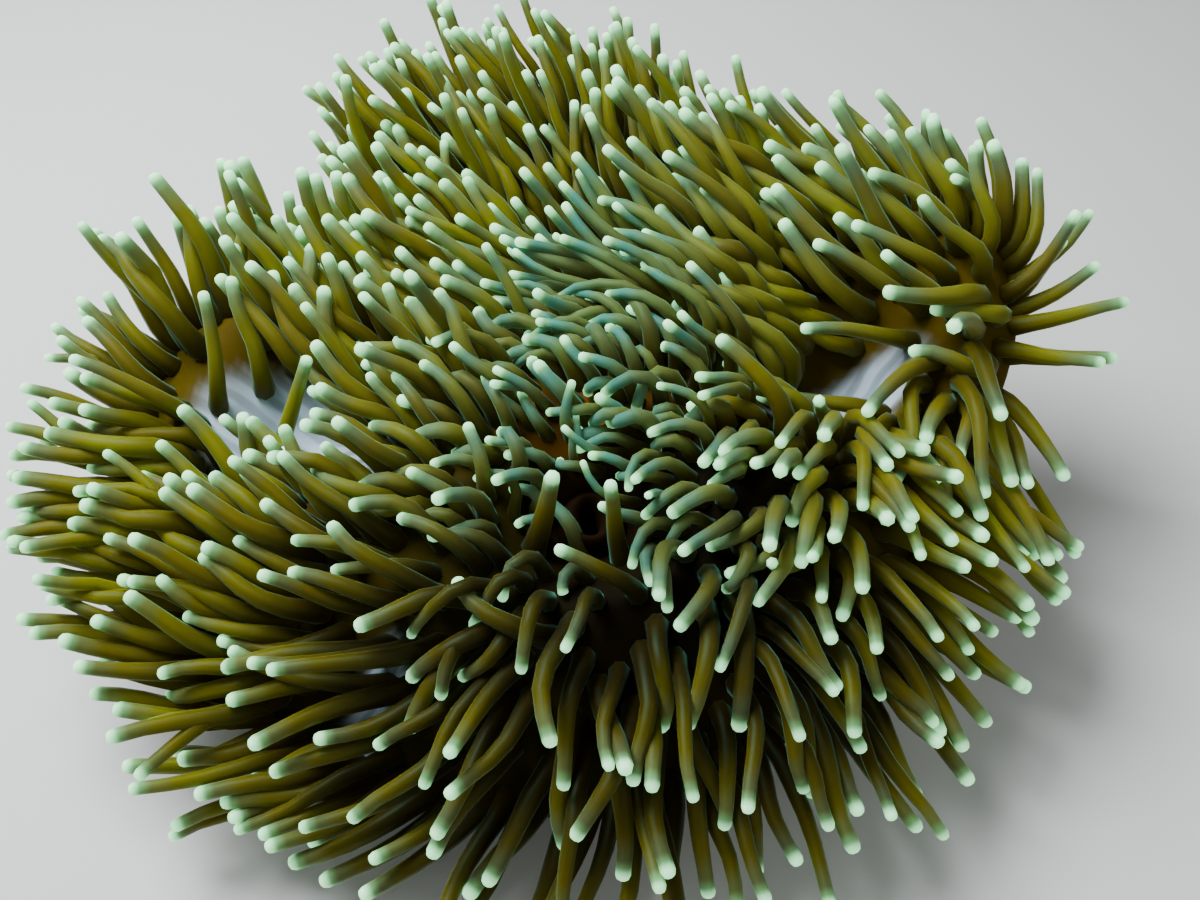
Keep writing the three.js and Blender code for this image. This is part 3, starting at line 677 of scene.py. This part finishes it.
# Some stand alone, by the hollows and round the pit: root, heading and rise, and length.
LONE = {
    "left_upright": (-167, 33, 113, 55, 62),
    "left_upright_far": (-154, 42, 80, 50, 70),
    "left_upright_near": (-186, 20, 100, 60, 60),
    "left_bow": (-162, -4, 45, 56, 68),
    "left_sweep": (-179, -4, 184, 6, 78),
    "left_sweep_far": (-191, -10, 180, 12, 76),
    "left_short": (-160, -13, 118, 60, 40),
    "right_hook": (84, 0, 150, 45, 60),
    "hollow_floor": (136, 28, 178, 0, 50),
    "right_inner_rim": (184, 40, 182, 10, 50),
    "right_inner_rim_far": (189, 60, 195, 10, 50),
    "right_drop": (160, 20, 242, 10, 38),
    "right_drop_near": (171, 20, 248, 4, 38),
    "right_wall": (166, 74, 165, 24, 60),
    "right_wall_near": (168, 56, 170, 38, 56),
    "pit_left": (-32, -60, 60, 75, 42),
    "pit_middle": (5, -64, 130, 70, 42),
    "pit_low": (13, -88, 170, 40, 46),
    "pit_low_left": (-20, -104, 170, 30, 54),
    "front_upright": (-4, -116, -80, 25, 52),
    "front_leaning": (-34, -106, -125, 10, 60),
    "inner_hook": (72, 4, 195, 30, 44),
}
LONE_NUMBERS = 4000
LONE_ROOM = 9
GOLDEN_TURN = math.pi * (3 - math.sqrt(5))
# Every patch of the sway tells a little everywhere, so that a far place has a direction too.
LEAST_SWAY = 1e-9


def edge_point(angle):
    x, y = plan_point(angle, 1 - EDGE_ROW["inset"] / (rim_radius(angle) - MOUTH["radius"]))
    return np.array((x, y, top_height(x, y)))


def edge_row():
    """Roots evenly spaced just inside the disc's edge."""
    places, angle = [], 0.0
    while angle < 2 * math.pi:
        here = edge_point(angle)
        places.append(here[:2])
        angle += EDGE_ROW["step"] * SMALL_STEP / np.linalg.norm(edge_point(angle + SMALL_STEP) - here)
    return np.array(places)


def find_seeds():
    """Roots in a row along the edge, on a sunflower spiral inside it, and alone.

    None stand on the bare floors or close to a lone one, and fewer beside a floor and in the
    sparse patches. Gives each root's number, place, share of the disc's width and direction."""
    k = np.arange(SPIRAL["count"])
    turn = k * GOLDEN_TURN
    away = SPIRAL["step"] * (k + 0.5) ** SPIRAL["power"]
    x, y = away * np.cos(turn), away * np.sin(turn)
    angle, share = disc_place(x, y)
    inset = (1 - share) * (rim_radius(angle) - MOUTH["radius"])
    good = (share > 0) & (inset > RIM_INSET)
    edge = edge_row()
    k = np.append(k[good], EDGE_ROW["numbers"] + np.arange(len(edge)))
    x, y = np.append(x[good], edge[:, 0]), np.append(y[good], edge[:, 1])
    angle, share = disc_place(x, y)
    hollow = hollow_distance(x, y)
    thinned = THINNED["share"] * ease(THINNED["within"], 1, hollow)
    for at_x, at_y, wide, missing in SPARSE.values():
        thinned = thinned + missing * swell(x - at_x, y - at_y, wide)
    good = (hollow >= 1) & (chance(k, SALT["missing"]) >= thinned)
    lone = np.array(list(LONE.values()))
    apart = np.hypot(x[:, None] - lone[:, 0], y[:, None] - lone[:, 1]).min(1)
    good &= apart > LONE_ROOM
    k = np.append(k[good], LONE_NUMBERS + np.arange(len(lone)))
    x, y = np.append(x[good], lone[:, 0]), np.append(y[good], lone[:, 1])
    angle, share = disc_place(x, y)
    return k, x, y, share, angle


def direction(heading, rise):
    heading, rise = math.radians(heading), math.radians(rise)
    level = math.cos(rise)
    return np.array((level * math.cos(heading), level * math.sin(heading), math.sin(rise)))


def sway_at(x, y):
    total = np.zeros((len(x), 3))
    for at_x, at_y, heading, rise, wide in SWAY.values():
        told = swell(x - at_x, y - at_y, wide) + LEAST_SWAY
        total += told[:, None] * direction(heading, rise)
    return unit(total)


def turned(ways, axes, degrees):
    """Each way turned about its own axis."""
    angle = np.radians(degrees)[..., None]
    kept = axes * (axes * ways).sum(-1, keepdims=True) * (1 - np.cos(angle))
    return ways * np.cos(angle) + np.cross(axes, ways) * np.sin(angle) + kept


LINE_STEPS = 14
# Where they hook over and curl, and where the crown is: middle and half width.
HOOKED = (5, -30, 50)
CROWN = (20, 60, 34)
# How far each strays from the sway: alone, in general, and what hooking adds.
STRAY = {"alone": 0.12, "most": 0.42, "hooked": 0.65}
# How they leave the disc: upright, less so in the low front, leaning and straying.
LEAVING = {"upright": 1.3, "less": 0.6, "front": (-60, -110), "lean": 0.6, "stray": 0.2}
PAST_SWAY = 0.35
# Between these shares of the disc's width they grow from short to long.
LONG_FROM = (0.1, 0.55)
# Along this share of its length each bends from the way it leaves to the sway; hooked ones later.
BEND = {"end": 0.6, "hooked_start": 0.4, "hooked_later": 0.25}
# The least and the most of what each draws for itself, as shares or in degrees.
LENGTHS = (0.78, 1.22)
GIRTHS = (0.82, 1.10)
HOOKED_GIRTH_LOST = (0.12, 0.54)
CROWN_GIRTH_LOST = 0.28
BACK_GIRTH_LOST = {"from": (90, 190), "share": 0.18}
DROOP, HOOKED_DROOP = (-17, 17), (-15, 155)
ASIDE, HOOKED_ASIDE = (-15, 15), (-75, 75)
WAVE = {"degrees": 8, "upward": 0.6, "rates": (0.7, 1.4), "held": (0.1, 0.4)}
# The shares of the length from which they droop and turn aside.
DROOP_FROM, ASIDE_FROM = 0.3, 0.2

k, root_x, root_y, share, angle = find_seeds()
is_lone = k >= LONE_NUMBERS
hooked = np.where(is_lone, 0, swell(root_x - HOOKED[0], root_y - HOOKED[1], HOOKED[2]))
crown = swell(root_x - CROWN[0], root_y - CROWN[1], CROWN[2])


def drawn(limits, what):
    """Each tentacle's own value between two limits."""
    low, high = limits
    return low + (high - low) * chance(k, SALT[what])


up = top_normal(root_x, root_y)
jitter = np.stack([chance(k, salt) - 0.5 for salt in SALT["jitter"]], -1)
sway = sway_at(root_x, root_y)
sway[-len(LONE) :] = [direction(heading, rise) for _, _, heading, rise, _ in LONE.values()]
stray = np.where(is_lone, STRAY["alone"], STRAY["most"] + STRAY["hooked"] * hooked)
sway = unit(sway + stray[:, None] * jitter)
upright = LEAVING["upright"] - LEAVING["less"] * ease(*LEAVING["front"], root_y)
first_way = unit(upright[:, None] * up + LEAVING["lean"] * sway + LEAVING["stray"] * jitter)
last_way = unit((1 + PAST_SWAY) * sway - PAST_SWAY * first_way)

length = TENTACLE["short"] + (TENTACLE["long"] - TENTACLE["short"]) * ease(*LONG_FROM, share)
length = length * drawn(LENGTHS, "length")
for at_x, at_y, wide, lost in SHORTER.values():
    length = length * (1 - lost * swell(root_x - at_x, root_y - at_y, wide))
length[-len(LONE) :] = [long for *_, long in LONE.values()]
size = length + TENTACLE["buried"]
far_back = ease(*BACK_GIRTH_LOST["from"], root_y)
thickness = drawn(GIRTHS, "girth") * (1 - CROWN_GIRTH_LOST * crown)
thickness = thickness * (1 - BACK_GIRTH_LOST["share"] * far_back)
thickness = thickness * (1 - hooked * drawn(HOOKED_GIRTH_LOST, "hooked_girth"))

# Round the mouth they hook over and curl; further out they only wave a little.
steps = (np.arange(LINE_STEPS) + 0.5) / LINE_STEPS
bend_start = BEND["hooked_start"] * hooked[:, None]
bend_end = BEND["end"] + BEND["hooked_later"] * hooked[:, None]
bend = ease(bend_start, bend_end, steps)[..., None]
ways = unit(first_way[:, None] * (1 - bend) + last_way[:, None] * bend)
droop = hooked * drawn(HOOKED_DROOP, "droop") + (1 - hooked) * drawn(DROOP, "droop")
aside = hooked * drawn(HOOKED_ASIDE, "aside") + (1 - hooked) * drawn(ASIDE, "aside")
waved = steps * drawn(WAVE["rates"], "wave_rate")[:, None] + chance(k, SALT["wave"])[:, None]
wave = WAVE["degrees"] * np.sin(2 * math.pi * waved)
over = np.repeat(unit(np.cross(up, sway))[:, None], LINE_STEPS, 1)
upward = np.repeat(up[:, None], LINE_STEPS, 1)
droops = droop[:, None] * ease(DROOP_FROM, 1, steps)
turns_aside = aside[:, None] * ease(ASIDE_FROM, 1, steps)
ways = turned(ways, over, droops + WAVE["upward"] * wave[:, ::-1])
ways = turned(ways, upward, turns_aside + wave * ease(*WAVE["held"], steps))
start = np.stack([root_x, root_y, top_height(root_x, root_y)], -1) - TENTACLE["buried"] * up
lines = np.concatenate([0 * start[:, None], np.cumsum(ways, 1)], 1)
lines = start[:, None] + lines * (size / LINE_STEPS)[:, None, None]

# A few fork half way: the second finger starts inside the first.
FORKS = {"share": 0.013, "degrees": 36, "length": 0.45, "girth": 0.85}
FORK_AT = LINE_STEPS // 2
fork = np.flatnonzero(chance(k, SALT["fork"]) < FORKS["share"])
fork_turn = np.sign(chance(k[fork], SALT["fork_side"]) - 0.5) * FORKS["degrees"]
fork_ways = turned(ways[fork, FORK_AT - 1 :], upward[fork, FORK_AT - 1 :], fork_turn[:, None])
fork_ways = np.repeat(fork_ways, 2, 1)[:, :LINE_STEPS]
fork_size = FORKS["length"] * size[fork]
fork_lines = np.concatenate([0 * start[fork][:, None], np.cumsum(fork_ways, 1)], 1)
fork_lines = lines[fork, FORK_AT][:, None] + fork_lines * (fork_size / LINE_STEPS)[:, None, None]
lines = np.concatenate([lines, fork_lines])
owner = np.concatenate([np.arange(len(k)), fork])
size = np.concatenate([size, fork_size])
begins = np.concatenate([0 * thickness, 0.5 + 0 * fork])
thickness = np.concatenate([thickness, FORKS["girth"] * thickness[fork]])

# A finger narrows into the disc, swells a little above its root and again at its tip: place along
# it, half width and share added.
FINGER_SWELLS = ((0, 0.03, -0.35), (0.08, 0.06, 0.12), (0.94, 0.06, 0.09))


def finger_radius(along):
    form = 1
    for at, wide, added in FINGER_SWELLS:
        form = form + added * np.exp(-(((along - at) / wide) ** 2))
    return (TENTACLE["root"] + (TENTACLE["tip"] - TENTACLE["root"]) * along) * form


# Where they would run into each other they are pushed apart, a little at a time with their roots
# held, then smoothed along their length and lifted clear of the disc and the floor.
RELAX_ROUNDS = 14
PUSH = {"reach": 5.0, "share": 0.35, "most": 2.5, "held": (0.06, 0.3)}
LIFT = {"share": 0.6, "most": 6, "held": (0.1, 0.25), "over_floor": 1.5}
TINY = 1e-6


def find_pushes(points, radii, owners):
    """How far other tentacles push each point, by as much as they overlap there."""
    tree = kdtree.KDTree(len(points))
    for i, point in enumerate(points):
        tree.insert(point, i)
    tree.balance()
    pushed = np.zeros_like(points)
    for i, point in enumerate(points):
        for other_point, other, away in tree.find_range(point, radii[i] + PUSH["reach"]):
            overlap = radii[i] + radii[other] - away
            if owners[other] != owners[i] and overlap > 0 and away > TINY:
                pushed[i] += (point - np.array(other_point)) / away * overlap * PUSH["share"]
    return np.clip(pushed, -PUSH["most"], PUSH["most"])


stations = np.linspace(0, 1, LINE_STEPS + 1)
line_radius = finger_radius(begins[:, None] + (1 - begins[:, None]) * stations) * thickness[:, None]
owners = np.repeat(owner, LINE_STEPS + 1)
shift = np.zeros_like(lines)
for _ in range(RELAX_ROUNDS):
    pushed = find_pushes((lines + shift).reshape(-1, 3), line_radius.ravel(), owners)
    shift += pushed.reshape(lines.shape) * ease(*PUSH["held"], stations)[:, None]
    shift[:, 1:-1] = 0.5 * shift[:, 1:-1] + 0.25 * (shift[:, :-2] + shift[:, 2:])
    moved_x, moved_y, moved_z = np.moveaxis(lines + shift, -1, 0)
    _, inside = disc_place(moved_x, moved_y)
    is_over_disc = (inside > 0) & (inside < 1)
    ground = np.where(is_over_disc, top_height(moved_x, moved_y), LIFT["over_floor"])
    lack = np.clip(ground + line_radius - moved_z, 0, LIFT["most"])
    shift[..., 2] += LIFT["share"] * lack * ease(*LIFT["held"], stations)
# A fork moves with its parent.
lines = lines + shift
lines[len(k) :] += (lines[fork, FORK_AT] - lines[len(k) :, 0])[:, None]

# Each is a ring-built finger: its rings stand at shares of the length, and three close the tip.
FINGER_SIDES = 7
BODY_STATIONS = np.array((0, 0.1, 0.24, 0.39, 0.54, 0.69, 0.85, 1.0))
TIP_TURNS = np.radians((38, 68, 90))
FINGER_RINGS = len(BODY_STATIONS) + len(TIP_TURNS) - 1
FIRST_SPOKE = (0.2, 0.3, 1.0)


def curve_points(lines, t):
    """Points of each line's smooth curve at its own shares t of the length."""
    reached = np.clip(t * LINE_STEPS, 0, LINE_STEPS - TINY)
    i = reached.astype(int)
    f = (reached - i)[..., None]
    line = np.arange(len(lines))[:, None]
    before, at = lines[line, np.maximum(i - 1, 0)], lines[line, i]
    after, beyond = lines[line, i + 1], lines[line, np.minimum(i + 2, LINE_STEPS)]
    return 0.5 * (
        2 * at
        + (after - before) * f
        + (2 * before - 5 * at + 4 * after - beyond) * f**2
        + (3 * at - before - 3 * after + beyond) * f**3
    )


def finger_shapes(lines, thickness, size, begins):
    """Every tentacle's vertices, and the share t of the length that each stands at.

    Each ring's spokes are carried on from the ring before, so that a bent finger doesn't twist."""
    tip_share = (TENTACLE["tip"] * thickness / size)[:, None]
    t = np.concatenate([BODY_STATIONS * (1 - tip_share), 1 - tip_share * (1 - np.sin(TIP_TURNS))], 1)
    narrowing = np.concatenate([np.ones(len(BODY_STATIONS)), np.cos(TIP_TURNS[:-1])])
    middles = curve_points(lines, t)
    ways = unit(np.gradient(middles, axis=1))
    across = np.zeros_like(ways)
    across[:, 0] = unit(np.cross(ways[:, 0], FIRST_SPOKE))
    for i in range(1, t.shape[1]):
        carried = across[:, i - 1]
        across[:, i] = unit(carried - (carried * ways[:, i]).sum(-1, keepdims=True) * ways[:, i])
    over = np.cross(ways, across)
    radius = finger_radius(begins[:, None] + (1 - begins[:, None]) * t[:, :-1])
    radius = radius * thickness[:, None] * narrowing
    turns = np.arange(FINGER_SIDES)[:, None] * 2 * math.pi / FINGER_SIDES
    spokes = np.cos(turns) * across[:, :-1, None] + np.sin(turns) * over[:, :-1, None]
    rings = middles[:, :-1, None] + spokes * radius[:, :, None, None]
    points = np.concatenate([rings.reshape(len(lines), -1, 3), middles[:, -1:], middles[:, :1]], 1)
    return points, np.concatenate([np.repeat(t[:, :-1], FINGER_SIDES, 1), t[:, -1:], t[:, :1]], 1)


# Eight bunches round the disc and one on its inner ring, each a piece of its own.
LOBE_NAMES = ("right", "right_back", "back", "left_back", "left", "left_low", "front", "front_right")
LOBE_DEGREES = 45
LOBES_START = -3


def bunch_names(angle, share):
    lobe = ((np.degrees(angle) - LOBES_START) % 360 // LOBE_DEGREES).astype(int)
    return np.where(share > RING_SPLIT, np.array(LOBE_NAMES)[lobe], "middle")


flesh, flesh_shader, place = new_material(
    "tentacle_flesh",
    Roughness=0.5,
    Specular_IOR_Level=0.14,
    Specular_Tint=(0.4, 1.0, 0.70, 1),
    Subsurface_Weight=0.6,
    Subsurface_Radius=(0.7, 1.0, 0.3),
    Subsurface_Scale=0.006,
    Sheen_Weight=0.14,
    Sheen_Roughness=0.35,
    Sheen_Tint=(0.25, 0.95, 0.70, 1),
    Emission_Strength=1.4,
)
# Each colour differs from tentacle to tentacle between the two of its pair.
# The root browns are painted shade at the crowded roots, and the shaded browns below are painted
# shade too.
ROOT_SHADE_BROWN = ((0.014, 0.009, 0.0), (0.034, 0.024, 0.0))
OLIVE = ((0.125, 0.094, 0.0), (0.170, 0.165, 0.0))
SHADED_BROWN = ((0.068, 0.050, 0.0), (0.120, 0.105, 0.0))
SHADED_ROOT, MOTTLE = (0.008, 0.005, 0.0), (0.050, 0.026, 0.0)
MOTTLE_SPOTS = 90.0
BLUE_GREEN, TEAL, LEAF_GREEN = (0.034, 0.200, 0.125), (0.030, 0.230, 0.215), (0.150, 0.36, 0.15)
# MINT_GLOW is painted light: the pale ends glow as if brightly lit, though they are no lamp.
MINT, MINT_GLOW = (0.52, 1.0, 0.56), (0.30, 0.84, 0.40)

# Where each colour comes in: the first two by share of the length, and the others by distance
# from the tip, where 1 is the pale end's own length.
ROOT_SHADE_FADES, BLUED = (0.1, 0.75), (0.2, 0.8)
BANDED, GREENED, PALED, GLOWING = (2.7, 1.0), (1.25, 0.5), (0.85, 0.22), (0.9, 0.1)
TEAL_SHARE = {"bluest": 0.8, "least": 0.15}
BLUE_SHARE = 0.7
MOTTLE_SHARE = 0.3
ROOT_SHADE_REACH = 0.2
OWN_END = 0.2
FLESH_GLOW = 0.1

# A body is painted dark at the root, as shade where the tentacles crowd each other, and turns olive,
# or brown in the shade; the thin flesh is blue-green.
along, fade, own = (place.attribute(name) for name in ("along", "fade", "own"))
blue, shade = place.attribute("blue"), place.attribute("shade")
root_shade = shade.mix(own.mix(*ROOT_SHADE_BROWN), SHADED_ROOT)
lit_or_shaded_colour = shade.mix(own.mix(*OLIVE), own.mix(*SHADED_BROWN))
bodies = (along - shade * ROOT_SHADE_REACH).between(*ROOT_SHADE_FADES).mix(root_shade, lit_or_shaded_colour)
bodies = (blue * along.between(*BLUED) * BLUE_SHARE).mix(bodies, BLUE_GREEN)
mottled = (place.noise(MOTTLE_SPOTS) * MOTTLE_SHARE).mix(bodies, MOTTLE)
# A teal band stands between the flesh and the pale end, clearest near the mouth.
teal = blue * TEAL_SHARE["bluest"] + TEAL_SHARE["least"]
banded = (fade.between(*BANDED) * teal).mix(mottled, TEAL)
greened = fade.between(*GREENED).mix(banded, LEAF_GREEN)
end = fade + own * OWN_END
# Painted light: the flesh glows faintly in its own colour as if lit through, and the pale ends glow
# brightly.
glow = place.node("ShaderNodeVectorMath", {"operation": "SCALE"}, 0, mottled, Scale=FLESH_GLOW)
paint(
    flesh_shader,
    Base_Color=end.between(*PALED).mix(greened, MINT),
    Emission_Color=end.between(*GLOWING).mix(glow, MINT_GLOW),
)

# The pale ends are longest at the back, where a painted highlight stands for the light from behind
# falling on them. Painted shade lies on the front, less so at its left, on the far back and on the
# hooked ones, and the thin lobes are painted as lit. The crown is the bluest.
PALE_END = {"least": 7.6, "more_where_lit": 1.5, "back": (-60, 130)}
SHADE = {"front": (-20, -100), "left": (-160, -60), "at_left": 0.45, "back": (80, 180)}
BACK_SHADE, HOOKED_SHADE = 0.35, 0.25
BLUE = {"most": 0.75, "hooked": 0.8, "front": (-95, -50), "lobes": 0.35}

pale_end = PALE_END["least"] + PALE_END["more_where_lit"] * ease(*PALE_END["back"], root_y)
through = lobe_light(root_x, root_y)
front_shade = SHADE["at_left"] + (1 - SHADE["at_left"]) * ease(*SHADE["left"], root_x)
shaded = ease(*SHADE["front"], root_y) * front_shade + BACK_SHADE * ease(*SHADE["back"], root_y)
shaded = shaded + HOOKED_SHADE * hooked - through
# Where light is painted coming through the thin lobes, they are painted bluer as well as lighter.
bluish = crown + BLUE["hooked"] * hooked * ease(*BLUE["front"], root_y) + BLUE["lobes"] * through
bluish = BLUE["most"] * np.clip(bluish, 0, 1)
bunches = bunch_names(angle, share)[owner]
for name in sorted(set(bunches)):
    chosen = np.flatnonzero(bunches == name)
    bunch = grow_tube(f"tentacles_{name}", FINGER_SIDES, FINGER_RINGS)
    make_copies(bunch, len(chosen))
    points, t = finger_shapes(lines[chosen], thickness[chosen], size[chosen], begins[chosen])
    place_vertices(bunch, points)
    face_out(bunch)
    unwrap(bunch, FINGER_SIDES, FINGER_RINGS, columns=math.ceil(math.sqrt(2 * len(chosen))))
    parent = owner[chosen]
    write_attribute(bunch, "along", begins[chosen][:, None] + (1 - begins[chosen][:, None]) * t)
    write_attribute(bunch, "fade", size[chosen][:, None] * (1 - t) / pale_end[parent][:, None])
    write_attribute(bunch, "shade", np.repeat(shaded[parent], t.shape[1]))
    write_attribute(bunch, "own", np.repeat(chance(k[parent], SALT["colour"]), t.shape[1]))
    write_attribute(bunch, "blue", np.repeat(bluish[parent], t.shape[1]))
    bunch.data.materials.append(flesh)
    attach(bunch, "root")
